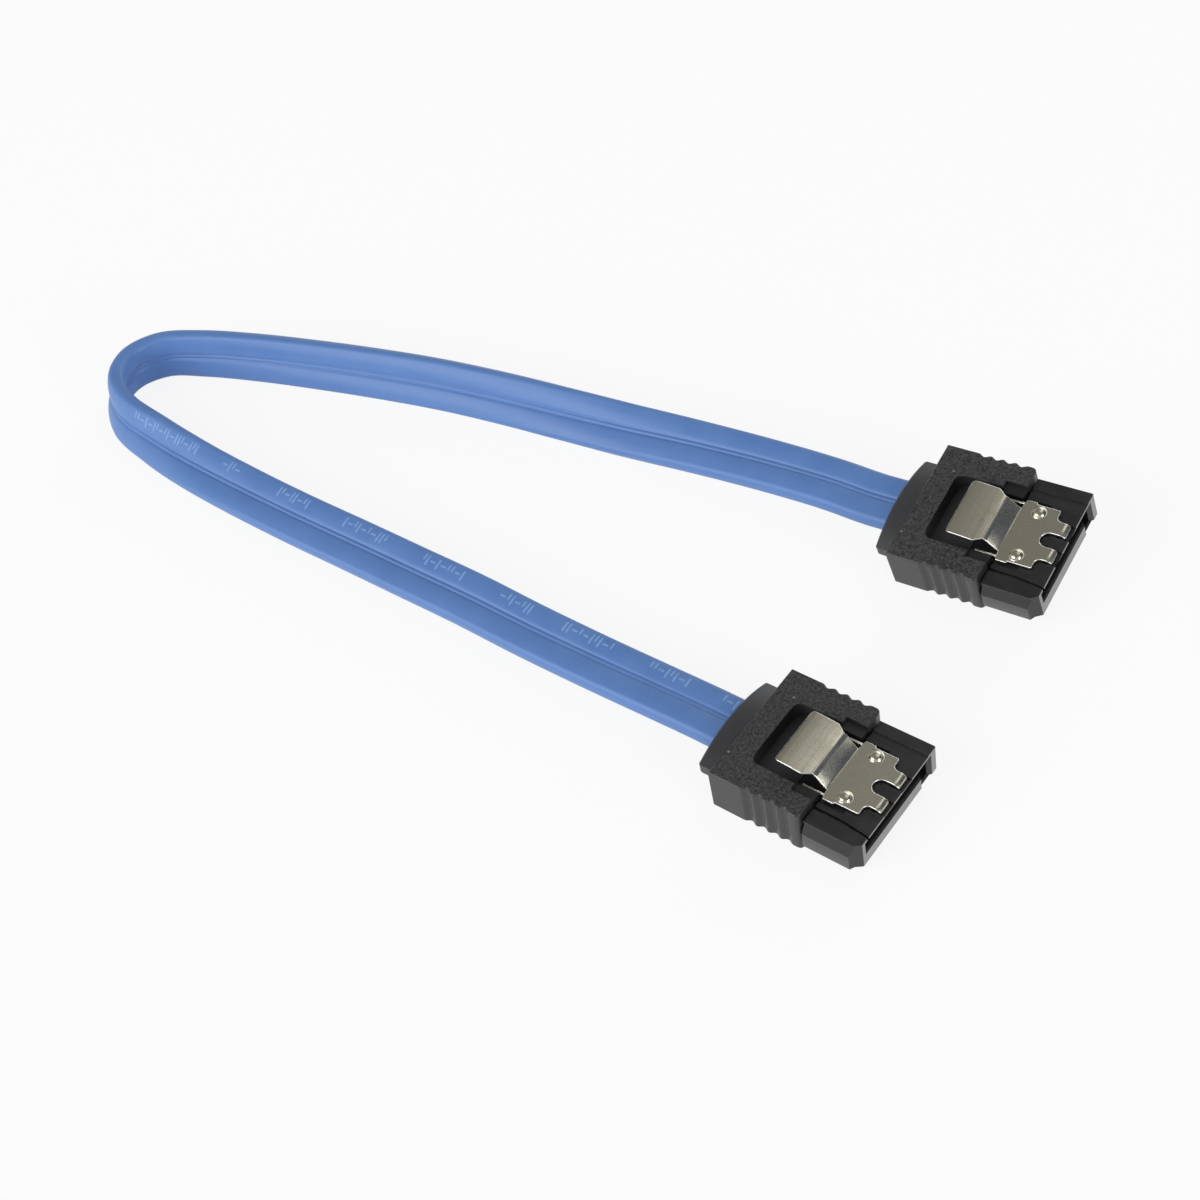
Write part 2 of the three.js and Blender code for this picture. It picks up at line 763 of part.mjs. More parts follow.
function plug(prefix) {
  const group = new THREE.Group();
  group.add(named(`${prefix}_grip`, geometryFrom(grip()), "grip"));
  group.add(named(`${prefix}_contact_housing`, geometryFrom(contactHousing()), "housing"));
  group.add(named(`${prefix}_inner_mould`, geometryFrom(innerMould()), "innerMould"));
  group.add(named(`${prefix}_latch`, geometryFrom(latch()), "latch"));
  for (let i = 0; i < contactCount; i += 1) {
    group.add(named(`${prefix}_contact_${i + 1}`, contactGeometry(i), "contact"));
    const isSignal = signalContacts.includes(i);
    const diameter = isSignal ? coreDiameter : drainDiameter;
    const name = isSignal ? `${prefix}_signal_wire_${i + 1}` : `${prefix}_drain_wire_${i + 1}`;
    group.add(named(name, wireGeometry(i, diameter), isSignal ? "core" : "drain"));
  }
  return group;
}

function nearPlug() {
  const group = plug("near");
  group.position.set(gripLength / 2, 0, 0);
  return group;
}

// The far plug is turned first, then lowered until its lowest corner rests on z = 0
function farPlug() {
  const group = plug("far");
  const [roll, pitch, heading] = [farPlugRoll, farPlugPitch, farPlugHeading].map(THREE.MathUtils.degToRad);
  group.rotation.set(roll, pitch, heading, "ZYX");
  const half = gripWidth / 2;
  const corners = [[0, -half], [0, half], [-gripLength, -half], [-gripLength, half]];
  const heights = corners.map(([x, y]) => new THREE.Vector3(x, y, 0).applyEuler(group.rotation).z);
  group.position.set(gripLength / 2 + farPlugX, farPlugY, -Math.min(...heights));
  return group;
}

// Ribbon

// Route of the ribbon's centreline between the two bosses, with its roll in degrees at each point.
// It leaves the near plug lying flat, stands on edge round the bend and lies back down, turned over.
const ribbonRoute = [
  [-16.5, -0.2, 2.9, -1],
  [-24.8, -0.5, 3.1, -4],
  [-33.6, -0.6, 3.2, -8],
  [-42.4, -0.5, 3.3, -12],
  [-51.2, -0.6, 3.3, -13],
  [-59.5, -0.7, 3.3, -14],
  [-68.4, -0.85, 3.3, -15],
  [-76.8, -0.8, 3.3, -18],
  [-85.4, -0.5, 3.3, -28],
  [-94, 0.3, 3.3, -47],
  [-101.3, 1.6, 3.3, -63],
  [-105.6, 4.4, 3.3, -74],
  [-106.9, 8.4, 3.3, -84],
  [-105, 12.2, 3.3, -94],
  [-100.2, 14.9, 3.3, -103],
  [-93, 17.7, 3.3, -109],
  [-84.6, 20.4, 3.3, -114],
  [-76.7, 22.7, 3.3, -118],
  [-68.1, 24.9, 3.3, -122],
  [-59.5, 26.6, 3.3, -127],
  [-50.8, 27.9, 3.4, -136],
  [-42.5, 29.1, 3.5, -149],
  [-33.8, 30.5, 3.65, -160],
  [-25.1, 31.8, 3.7, -166],
  [-16.9, 32.7, 3.75, -169],
];

// The centreline, with a section that turns by the roll of the route instead of by the curve alone
class RibbonCurve extends THREE.CatmullRomCurve3 {
  constructor(points, rolls) {
    super(points);
    this.rolls = rolls;
  }

  rollAt(u) {
    const place = this.getUtoTmapping(u) * (this.rolls.length - 1);
    const index = Math.min(Math.floor(place), this.rolls.length - 2);
    return THREE.MathUtils.lerp(this.rolls[index], this.rolls[index + 1], place - index);
  }

  computeFrenetFrames(segments) {
    const frames = { tangents: [], normals: [], binormals: [] };
    const up = new THREE.Vector3(0, 0, 1);
    for (let i = 0; i <= segments; i += 1) {
      const tangent = this.getTangentAt(i / segments);
      const side = up.clone().cross(tangent).normalize();
      const lift = tangent.clone().cross(side);
      const roll = THREE.MathUtils.degToRad(this.rollAt(i / segments));
      const across = side.multiplyScalar(Math.cos(roll)).addScaledVector(lift, Math.sin(roll));
      frames.tangents.push(tangent);
      frames.normals.push(across);
      frames.binormals.push(tangent.clone().cross(across));
    }
    return frames;
  }
}

// Section of the ribbon: two round-edged cores side by side with a shallow groove between them
function ribbonSection() {
  const half = ribbonWidth / 2;
  const crown = half - ribbonCrownInset;
  const rim = ribbonRimHeight / 2;
  const top = ribbonThickness / 2;
  return shapeOf([
    [half, -rim],
    [half, rim],
    [crown, top],
    [0, top - ribbonGroove],
    [-crown, top],
    [-half, rim],
    [-half, -rim],
    [-crown, -top],
    [0, -top + ribbonGroove],
    [crown, -top],
  ]);
}

// A point on a plug's cable axis, the given distance behind the boss, in the cable's frame
function behindBoss(group, distance) {
  group.updateMatrix();
  return new THREE.Vector3(bossRear - distance, 0, cableLevel).applyMatrix4(group.matrix);
}

function ribbon(near, far) {
  const route = ribbonRoute.map(([x, y, z]) => new THREE.Vector3(x, y, z));
  const start = [behindBoss(near, endGap), behindBoss(near, endGap + 3)];
  const end = [behindBoss(far, endGap + 3), behindBoss(far, endGap)];
  const lastRoll = farPlugRoll - 180;
  const rolls = [0, 0, ...ribbonRoute.map((point) => point[3]), lastRoll, lastRoll];
  const curve = new RibbonCurve([...start, ...route, ...end], rolls);
  const options = { steps: ribbonSteps, extrudePath: curve, bevelEnabled: false };
  return new THREE.ExtrudeGeometry(ribbonSection(), options);
}

const cable = new THREE.Group();
const near = nearPlug();
const far = farPlug();
cable.add(near, far);
cable.add(named("ribbon_cable", ribbon(near, far), "ribbon"));

export default cable;
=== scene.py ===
import json
import math

import bmesh
import bpy
from mathutils import Matrix, Vector


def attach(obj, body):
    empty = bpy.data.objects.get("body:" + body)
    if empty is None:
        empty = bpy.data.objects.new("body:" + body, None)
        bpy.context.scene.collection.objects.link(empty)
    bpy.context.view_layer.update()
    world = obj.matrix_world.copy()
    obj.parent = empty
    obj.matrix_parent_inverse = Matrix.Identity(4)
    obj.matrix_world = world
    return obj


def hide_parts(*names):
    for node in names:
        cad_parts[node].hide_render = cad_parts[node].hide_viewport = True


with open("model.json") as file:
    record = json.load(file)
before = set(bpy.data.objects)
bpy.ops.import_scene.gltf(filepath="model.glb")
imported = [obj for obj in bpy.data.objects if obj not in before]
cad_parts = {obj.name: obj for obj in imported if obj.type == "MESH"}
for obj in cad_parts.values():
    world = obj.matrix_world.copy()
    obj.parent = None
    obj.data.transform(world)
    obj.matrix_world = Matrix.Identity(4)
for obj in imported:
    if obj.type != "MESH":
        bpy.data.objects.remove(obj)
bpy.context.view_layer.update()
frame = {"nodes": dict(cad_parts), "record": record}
nodes = frame["nodes"]
mm = 0.001


# Camera and studio

studio = {
    "cameraPlace": (73.28, -89.0, 157.67),   # mm
    "cameraRight": (0.78819, 0.59506, -0.15701),
    "cameraDown": (0.36832, -0.66050, -0.65428),
    "cameraAhead": (-0.49304, 0.45787, -0.73977),
    "lens": 58.01,
    "sensorWidth": 36,
    "clip": (0.005, 20),   # m
    "floorSize": 6.0,   # m
    "floorLevel": -0.0001,
    "floorColour": (0.86, 0.86, 0.86),
    "floorRoughness": 0.9,
    "floorGlow": 0.88,   # share of plain white that the camera sees in the floor
    "horizonStrength": 1.0,   # the world fades from the horizon up to its upper half
    "zenithStrength": 0.25,
    "fadeHeight": 0.55,
    "lampTarget": (-0.02, 0.018, 0),   # m, between the plugs and the bend
    "lamps": {   # direction from the target, distance and size in m, power in W
        "overheadBox": ((0.12, 0.46, 0.88), 0.7, 0.4, 0.38),
        "frontBox": ((0.93, -0.2, 0.3), 0.7, 0.3, 1.8),
        "leftBox": ((-0.35, -0.8, 0.5), 0.7, 0.5, 3.2),
        "rearBox": ((-0.1, 0.9, 0.4), 0.7, 0.4, 1.0),
    },
    "flagTarget": (0.005, 0.018, 0.004),   # m, between the two latches
    "flagPlace": (0.736, 0.458, 0.5),   # direction of the dark card that each latch's ramp mirrors
    "flagDistance": 0.45,   # m
    "flagSize": (0.46, 0.44),
    "flagColour": (0.09, 0.105, 0.15),
}


def newMaterial(name):
    material = bpy.data.materials.new(name)
    material.use_nodes = True
    return material, material.node_tree.nodes, material.node_tree.links


def setOrLink(links, source, socket):
    # The source is another node's output or a plain value
    if isinstance(source, bpy.types.NodeSocket):
        links.new(source, socket)
    else:
        socket.default_value = source


def addMath(shaderNodes, links, operation, first, second=0.0, clamp=False):
    step = shaderNodes.new("ShaderNodeMath")
    step.operation = operation
    step.use_clamp = clamp
    setOrLink(links, first, step.inputs[0])
    setOrLink(links, second, step.inputs[1])
    return step.outputs[0]


def makeCamera(values):
    camera = bpy.data.objects.new("camera", bpy.data.cameras.new("camera"))
    bpy.context.scene.collection.objects.link(camera)
    axes = ("cameraRight", "cameraDown", "cameraAhead")
    right, down, ahead = (Vector(values[axis]) for axis in axes)
    turn = Matrix((right, -down, -ahead)).transposed()
    camera.matrix_world = Matrix.Translation(Vector(values["cameraPlace"]) * mm) @ turn.to_4x4()
    camera.data.lens = values["lens"]
    camera.data.sensor_width = values["sensorWidth"]
    camera.data.sensor_fit = "HORIZONTAL"
    camera.data.clip_start, camera.data.clip_end = values["clip"]
    bpy.context.scene.camera = camera


def placeFacing(thing, direction, distance, target):
    place = Vector(target) + Vector(direction).normalized() * distance
    thing.location = place
    thing.rotation_mode = "QUATERNION"
    thing.rotation_quaternion = (Vector(target) - place).to_track_quat("-Z", "Y")


def makeLamp(name, direction, distance, size, energy, target):
    light = bpy.data.lights.new(name, "AREA")
    light.shape = "SQUARE"
    light.size = size
    light.energy = energy
    lamp = bpy.data.objects.new(name, light)
    bpy.context.scene.collection.objects.link(lamp)
    placeFacing(lamp, direction, distance, target)
    lamp.visible_camera = False


def makeCard(name, width, height, material):
    mesh = bpy.data.meshes.new(name)
    x, y = width / 2, height / 2
    mesh.from_pydata([(-x, -y, 0), (x, -y, 0), (x, y, 0), (-x, y, 0)], [], [(0, 1, 2, 3)])
    mesh.materials.append(material)
    card = bpy.data.objects.new(name, mesh)
    bpy.context.scene.collection.objects.link(card)
    return card


def floorMaterial(values):
    # Plain paint that keeps the shadows, with an even white over it for the camera and for mirrors
    material, shaderNodes, links = newMaterial("floor")
    shader = shaderNodes["Principled BSDF"]
    shader.inputs["Base Color"].default_value = (*values["floorColour"], 1)
    shader.inputs["Roughness"].default_value = values["floorRoughness"]
    glow = shaderNodes.new("ShaderNodeEmission")
    paths = shaderNodes.new("ShaderNodeLightPath")
    direct, mirrored = paths.outputs["Is Camera Ray"], paths.outputs["Is Glossy Ray"]
    seen = addMath(shaderNodes, links, "ADD", direct, mirrored)
    seenToo = addMath(shaderNodes, links, "ADD", seen, paths.outputs["Is Transmission Ray"], clamp=True)
    mix = shaderNodes.new("ShaderNodeMixShader")
    links.new(addMath(shaderNodes, links, "MULTIPLY", seenToo, values["floorGlow"]), mix.inputs["Fac"])
    links.new(shader.outputs["BSDF"], mix.inputs[1])
    links.new(glow.outputs["Emission"], mix.inputs[2])
    links.new(mix.outputs["Shader"], shaderNodes["Material Output"].inputs["Surface"])
    return material


def makeStudio(values):
    scene = bpy.context.scene
    scene.view_settings.view_transform = "Standard"
    world = bpy.data.worlds.new("studio")
    world.use_nodes = True
    worldNodes, worldLinks = world.node_tree.nodes, world.node_tree.links
    direction = worldNodes.new("ShaderNodeTexCoord")
    parts = worldNodes.new("ShaderNodeSeparateXYZ")
    worldLinks.new(direction.outputs["Generated"], parts.inputs["Vector"])
    fade = worldNodes.new("ShaderNodeMapRange")
    fade.interpolation_type = "SMOOTHSTEP"
    fade.inputs["From Max"].default_value = values["fadeHeight"]
    fade.inputs["To Min"].default_value = values["horizonStrength"]
    fade.inputs["To Max"].default_value = values["zenithStrength"]
    worldLinks.new(parts.outputs["Z"], fade.inputs["Value"])
    background = worldNodes["Background"]
    background.inputs["Color"].default_value = (1, 1, 1, 1)
    worldLinks.new(fade.outputs["Result"], background.inputs["Strength"])
    scene.world = world
    floor = makeCard("floor", values["floorSize"], values["floorSize"], floorMaterial(values))
    floor.location.z = values["floorLevel"]
    for name, lamp in values["lamps"].items():
        makeLamp(name, *lamp, values["lampTarget"])
    dark, darkNodes, _ = newMaterial("flag")
    darkNodes["Principled BSDF"].inputs["Base Color"].default_value = (*values["flagColour"], 1)
    darkNodes["Principled BSDF"].inputs["Roughness"].default_value = 1
    flag = makeCard("flag", *values["flagSize"], dark)
    placeFacing(flag, values["flagPlace"], values["flagDistance"], values["flagTarget"])
    flag.visible_camera = False
    flag.visible_diffuse = False
    flag.visible_shadow = False


makeCamera(studio)
makeStudio(studio)
print("stage: camera and studio")


# Ribbon, along the route of the CAD tube

ribbon = {
    "width": 6.3,   # mm
    "thickness": 2.2,
    "section": [   # across from the middle, and below the crown: ridge, seam and crowned lobe
        (0.0, 0.25), (0.08, 0.255), (0.14, 0.28), (0.2, 0.33), (0.26, 0.335), (0.33, 0.29),
        (0.42, 0.22), (0.56, 0.155), (0.8, 0.1), (1.1, 0.045), (1.45, 0.01), (1.75, 0.0),
        (2.05, 0.015), (2.3, 0.06),
    ],
    "edgeSteps": 8,   # from the last of those points, round the edge, to the middle plane
    "edgeFullness": (0.9, 0.75),   # powers, across and up: 1 is an ellipse
    "leads": (0.3, 3.3),   # straight stretch behind each boss
    "intoBoss": 1.0,   # the ribbon runs on inside the boss
    "perSegment": 12,
    "bossRear": -13.1,   # in a plug's own frame
    "level": 2.75,   # middle of the boss above the underside
    "nearPlace": (5.25, 0, 0),
    "farPlace": (5.0, 34.4),
    "farTurn": (11.0, -4.4, 2.9),   # roll, pitch and heading in degrees
    "gripSize": (10.5, 15.0),   # length and width of a grip's block
    "route": [   # x, y, z and roll in degrees
        (-16.5, -0.2, 2.9, -1), (-24.8, -0.5, 3.1, -4), (-33.6, -0.6, 3.2, -8),
        (-42.4, -0.5, 3.3, -12), (-51.2, -0.6, 3.3, -13), (-59.5, -0.7, 3.3, -14),
        (-68.4, -0.85, 3.3, -15), (-76.8, -0.8, 3.3, -18), (-85.4, -0.5, 3.3, -28),
        (-94, 0.3, 3.3, -47), (-101.3, 1.6, 3.3, -63), (-105.6, 4.4, 3.3, -74),
        (-106.9, 8.4, 3.3, -84), (-105, 12.2, 3.3, -94), (-100.2, 14.9, 3.3, -103),
        (-93, 17.7, 3.3, -109), (-84.6, 20.4, 3.3, -114), (-76.7, 22.7, 3.3, -118),
        (-68.1, 24.9, 3.3, -122), (-59.5, 26.6, 3.3, -127), (-50.8, 27.9, 3.4, -136),
        (-42.5, 29.1, 3.5, -149), (-33.8, 30.5, 3.65, -160), (-25.1, 31.8, 3.7, -166),
        (-16.9, 32.7, 3.75, -169),
    ],
}


def plugPose(values, isFar):
    if not isFar:
        return Matrix.Translation(values["nearPlace"])
    roll, pitch, heading = (math.radians(angle) for angle in values["farTurn"])
    turn = Matrix.Rotation(heading, 4, "Z") @ Matrix.Rotation(pitch, 4, "Y")
    turn = turn @ Matrix.Rotation(roll, 4, "X")
    length, width = values["gripSize"]
    corners = [(0, -width / 2, 0), (0, width / 2, 0), (-length, -width / 2, 0), (-length, width / 2, 0)]
    lowest = min((turn @ Vector(corner)).z for corner in corners)
    x, y = values["farPlace"]
    return Matrix.Translation((x, y, -lowest)) @ turn


def curveThrough(points, perSegment):
    # Centripetal Catmull-Rom, as the CAD tube's own curve
    count = len(points)
    padded = [points[0] * 2 - points[1], *points, points[-1] * 2 - points[-2]]
    places = []
    for i in range(count - 1):
        p0, p1, p2, p3 = padded[i:i + 4]
        gaps = ((p0, p1), (p1, p2), (p2, p3))
        d0, d1, d2 = (max((b.xyz - a.xyz).length, 1e-4) ** 0.5 for a, b in gaps)
        m1 = ((p1 - p0) / d0 - (p2 - p0) / (d0 + d1) + (p2 - p1) / d1) * d1
        m2 = ((p2 - p1) / d1 - (p3 - p1) / (d1 + d2) + (p3 - p2) / d2) * d1
        steps = perSegment if i < count - 2 else perSegment + 1
        for k in range(steps):
            t = k / perSegment
            a, b = 2 * t ** 3 - 3 * t ** 2 + 1, t ** 3 - 2 * t ** 2 + t
            c, d = -2 * t ** 3 + 3 * t ** 2, t ** 3 - t ** 2
            places.append(p1 * a + m1 * b + p2 * c + m2 * d)
    return places


def ribbonPoints(values):
    near, far = plugPose(values, False), plugPose(values, True)
    rear, level = values["bossRear"], values["level"]

    def behind(pose, distance, roll):
        return Vector((*(pose @ Vector((rear - distance, 0, level))), roll))

    lastRoll = values["farTurn"][0] - 180
    start = [behind(near, lead, 0) for lead in values["leads"]]
    end = [behind(far, lead, lastRoll) for lead in reversed(values["leads"])]
    route = [Vector(place) for place in values["route"]]
    points = curveThrough([*start, *route, *end], values["perSegment"])
    inside = -values["intoBoss"]
    return [behind(near, inside, 0), *points, behind(far, inside, lastRoll)]


def halfSection(values):
    # Right half of the upper face, from the middle ridge out to the level of the middle plane
    top = values["thickness"] / 2
    places = [(x, top - drop) for x, drop in values["section"]]
    x0, z0 = places[-1]
    reach = values["width"] / 2 - x0
    across, up = values["edgeFullness"]
    for k in range(1, values["edgeSteps"] + 1):
        angle = math.pi / 2 * k / values["edgeSteps"]
        places.append((x0 + reach * math.sin(angle) ** across, z0 * math.cos(angle) ** up))
    return places


def ribbonProfile(values):
    upper = halfSection(values)
    right = upper + [(x, -z) for x, z in reversed(upper[:-1])]
    return right + [(-x, z) for x, z in reversed(right[1:-1])]


def ribbonFrames(points):
    # Place, direction across and direction out of the upper face, at each point
    frames = []
    for i, point in enumerate(points):
        before, after = points[max(i - 1, 0)], points[min(i + 1, len(points) - 1)]
        along = (after.xyz - before.xyz).normalized()
        side = Vector((0, 0, 1)).cross(along).normalized()
        lift = along.cross(side)
        roll = math.radians(point.w)
        across = side * math.cos(roll) + lift * math.sin(roll)
        frames.append((point.xyz, across, along.cross(across)))
    return frames


def joinRings(work, rings):
    count = len(rings[0])
    for a, b in zip(rings, rings[1:]):
        for k in range(count):
            j = (k + 1) % count
            work.faces.new((a[k], a[j], b[j], b[k]))


def addObject(name, work, smooth=True):
    bmesh.ops.recalc_face_normals(work, faces=work.faces)
    mesh = bpy.data.meshes.new(name)
    work.to_mesh(mesh)
    work.free()
    if smooth:
        mesh.shade_smooth()
    piece = bpy.data.objects.new(name, mesh)
    bpy.context.scene.collection.objects.link(piece)
    return piece


def makeRibbon(values, frames):
    profile = ribbonProfile(values)
    work = bmesh.new()
    rings = [[work.verts.new((place + across * x + face * z) * mm) for x, z in profile]
             for place, across, face in frames]
    joinRings(work, rings)
    work.faces.new(rings[0])
    work.faces.new(rings[-1])
    return addObject("ribbonJacket", work)


# Print on the ribbon: plain bars and dashes in place of a legend

legend = {
    "across": -1.75,   # mm from the middle of the ribbon to the middle of the marks
    "tall": 1.35,
    "low": 0.85,
    "stroke": 0.24,
    "dash": 0.7,
    "pitch": 0.52,
    "lift": 0.012,   # above the jacket, and as far into it
    "acrossSteps": 6,
    "cornerTrim": 0.05,
    "groups": [   # distance along the ribbon, and the marks from there: t tall bar, l low bar, - dash
        (0.9, "tt-l"), (7.3, "t-tlt-ll"), (16.9, "l-tlt-l-tt"), (27.7, "ttl-tl-"), (37.3, "t-ll-t-tl"),
        (48.7, "ltt-l-tl-t"), (60.7, "tl-tt-lt"), (72.1, "-lt-"), (79.4, "tlt-ltt-tl-lt-t-ll"),
    ],
}


def surfaceHeight(values, across):
    places = halfSection(values)
    x = abs(across)
    for (x0, z0), (x1, z1) in zip(places, places[1:]):
        if x0 <= x <= x1:
            return z0 + (z1 - z0) * (x - x0) / max(x1 - x0, 1e-6)
    return 0


def makeLegend(values, ribbonValues, frames):
    lengths = [0]
    for a, b in zip(frames, frames[1:]):
        lengths.append(lengths[-1] + (b[0] - a[0]).length)

    def onRibbon(distance, across, lift):
        i = max(k for k, length in enumerate(lengths[:-1]) if length <= distance)
        t = (distance - lengths[i]) / (lengths[i + 1] - lengths[i])
        place, side, face = (a.lerp(b, t) for a, b in zip(frames[i], frames[i + 1]))
        return (place + side * across + face * (surfaceHeight(ribbonValues, across) + lift)) * mm

    work = bmesh.new()

    def addMark(start, length, low, high):
        steps = values["acrossSteps"]
        rows = []
        for k in range(steps + 1):
            across = low + (high - low) * k / steps
            trim = values["cornerTrim"] if k in (0, steps) else 0
            first, last = start + trim, start + length - trim
            spots = ((first, 1), (last, 1), (last, -1), (first, -1))
            rows.append([work.verts.new(onRibbon(s, across, values["lift"] * up)) for s, up in spots])
        joinRings(work, rows)
        work.faces.new(rows[0])
        work.faces.new(rows[-1])

    middle, stroke = values["across"], values["stroke"]
    foot = middle - values["tall"] / 2
    for start, marks in values["groups"]:
        place = start
        for mark in marks:
            if mark == "-":
                addMark(place, values["dash"], middle - stroke / 2, middle + stroke / 2)
                place += values["dash"] + values["pitch"] - stroke
                continue
            addMark(place, stroke, foot, foot + values["tall" if mark == "t" else "low"])
            place += values["pitch"]
    return addObject("ribbonMarks", work, smooth=False)


# Shared pieces of the materials

def addNoise(shaderNodes, links, scale, detail=2.0, stretch=(1, 1, 1)):
    place = shaderNodes.new("ShaderNodeTexCoord")
    mapping = shaderNodes.new("ShaderNodeMapping")
    mapping.inputs["Scale"].default_value = stretch
    noise = shaderNodes.new("ShaderNodeTexNoise")
    noise.inputs["Scale"].default_value = scale
    noise.inputs["Detail"].default_value = detail
    links.new(place.outputs["Object"], mapping.inputs["Vector"])
    links.new(mapping.outputs["Vector"], noise.inputs["Vector"])
    return noise


def addRange(shaderNodes, links, source, span, target=(0, 1)):
    # Stretches the span of the source over the target and cuts off what lies outside
    scaled = shaderNodes.new("ShaderNodeMapRange")
    scaled.inputs["From Min"].default_value, scaled.inputs["From Max"].default_value = span
    scaled.inputs["To Min"].default_value, scaled.inputs["To Max"].default_value = target
    links.new(source, scaled.inputs["Value"])
    return scaled.outputs["Result"]


def addMix(shaderNodes, links, factor, low, high):
    mix = shaderNodes.new("ShaderNodeMix")
    mix.data_type = "RGBA"
    mix.inputs["A"].default_value = (*low, 1)
    setOrLink(links, high if isinstance(high, bpy.types.NodeSocket) else (*high, 1), mix.inputs["B"])
    links.new(factor, mix.inputs["Factor"])
    return mix.outputs["Result"]


def addTone(shaderNodes, links, factor, low, high):
    mixed = addMix(shaderNodes, links, factor, low, high)
    links.new(mixed, shaderNodes["Principled BSDF"].inputs["Base Color"])


def addBump(shaderNodes, links, height, strength, distance, base=None):
    # The base is the normal that the bump is added to
    bump = shaderNodes.new("ShaderNodeBump")
    bump.inputs["Strength"].default_value = strength
    bump.inputs["Distance"].default_value = distance
    links.new(height, bump.inputs["Height"])
    if base is not None:
        links.new(base, bump.inputs["Normal"])
    return bump.outputs["Normal"]


def darkened(colour, share):
    return tuple(channel * share for channel in colour)


def addSoftEdge(shaderNodes, radius, samples=6):
    edge = shaderNodes.new("ShaderNodeBevel")
    edge.samples = samples
    edge.inputs["Radius"].default_value = radius
    return edge.outputs["Normal"]


# Jacket of the ribbon: satin vinyl with faint cloudiness and a fine skin

jacket = {
    "colour": (0.11, 0.226, 0.515),
    "deepColour": (0.096, 0.206, 0.485),
    "roughness": (0.38, 0.48),
    "cloudScale": 260,   # per m
    "cloudSpan": (0.3, 0.7),
    "skinScale": 9000,
    "skinStrength": 0.12,
    "skinDepth": 0.00002,   # m
    "specular": 0.4,
}
legendInk = {
    "colour": (0.21, 0.37, 0.7),
    "worn": 0.86,   # share of the colour left where the ink is thin
    "grainScale": 2600,
    "grainSpan": (0.35, 0.65),
    "roughness": 0.55,
}


def jacketMaterial(values):
    material, shaderNodes, links = newMaterial("jacket")
    shader = shaderNodes["Principled BSDF"]
    cloud = addNoise(shaderNodes, links, values["cloudScale"], 3)
    factor = addRange(shaderNodes, links, cloud.outputs["Fac"], values["cloudSpan"])
    addTone(shaderNodes, links, factor, values["deepColour"], values["colour"])
    rough = addRange(shaderNodes, links, cloud.outputs["Fac"], values["cloudSpan"], values["roughness"])
    links.new(rough, shader.inputs["Roughness"])
    skin = addNoise(shaderNodes, links, values["skinScale"], 2)
    strength, depth = values["skinStrength"], values["skinDepth"]
    normal = addBump(shaderNodes, links, skin.outputs["Fac"], strength, depth)
    links.new(normal, shader.inputs["Normal"])
    shader.inputs["Specular IOR Level"].default_value = values["specular"]
    return material


def markMaterial(values):
    material, shaderNodes, links = newMaterial("legendInk")
    grain = addNoise(shaderNodes, links, values["grainScale"], 2)
    factor = addRange(shaderNodes, links, grain.outputs["Fac"], values["grainSpan"])
    addTone(shaderNodes, links, factor, darkened(values["colour"], values["worn"]), values["colour"])
    shaderNodes["Principled BSDF"].inputs["Roughness"].default_value = values["roughness"]
    return material


routePoints = ribbonPoints(ribbon)
routeFrames = ribbonFrames(routePoints)
ribbonPiece = makeRibbon(ribbon, routeFrames)
ribbonPiece.data.materials.append(jacketMaterial(jacket))
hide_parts("ribbon_cable")
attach(ribbonPiece, "cable")
markPiece = makeLegend(legend, ribbon, routeFrames)
markPiece.data.materials.append(markMaterial(legendInk))
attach(markPiece, "cable")
print("stage: ribbon and its marks")


# Moulded plastics

gripLook = {
    "colour": (0.008, 0.0081, 0.0084),
    "grainColour": (0.048, 0.0485, 0.049),
    "sideColour": (0.024, 0.0242, 0.0238),
    "roughness": 0.6,
    "sideRoughness": 0.4,
    "faceSpan": (0.72, 0.9),   # how level a face is where the side's finish turns into the top's
    "grainScale": 3100,   # spark-eroded texture on the top and bottom
    "pitSpan": (0.36, 0.64),
    "grainStrength": 1.0,
    "grainDepth": 0.00012,   # m
    "sideGrain": 0.07,   # share of that depth left on the sides
    "edge": 0.00012,
}
housingLook = {
    "colour": (0.014, 0.0141, 0.0143),
    "roughness": (0.34, 0.46),
    "polishedRoughness": (0.2, 0.3),
    "index": 1.5,
    "polishedIndex": 1.9,   # the upright faces of the nose come from a polished part of the mould
    "frontCoat": 0.5,
    "frontCoatIndex": 1.8,
    "flowScale": 900,
    "flowStretch": (0.35, 1, 1),
    "flowSpan": (0.35, 0.65),
    "flowDark": 0.8,
    "grainScale": 5200,
    "grainStrength": 0.2,
    "grainDepth": 0.00002,   # m
    "edge": 0.00002,
}
plainLooks = {
    "boss": {"colour": (0.042, 0.043, 0.046), "roughness": 0.4, "grainScale": 2500, "grain": 0.05},
    "inner_mould": {"colour": (0.03, 0.03, 0.032), "roughness": 0.6, "grainScale": 3500, "grain": 0.3},
    "core": {"colour": (0.8, 0.78, 0.7), "roughness": 0.4, "grainScale": 3000, "grain": 0.08},
}
plainGrain = {"span": (0.3, 0.7), "dark": 0.85, "depth": 0.00002}   # for the plastics and metals below


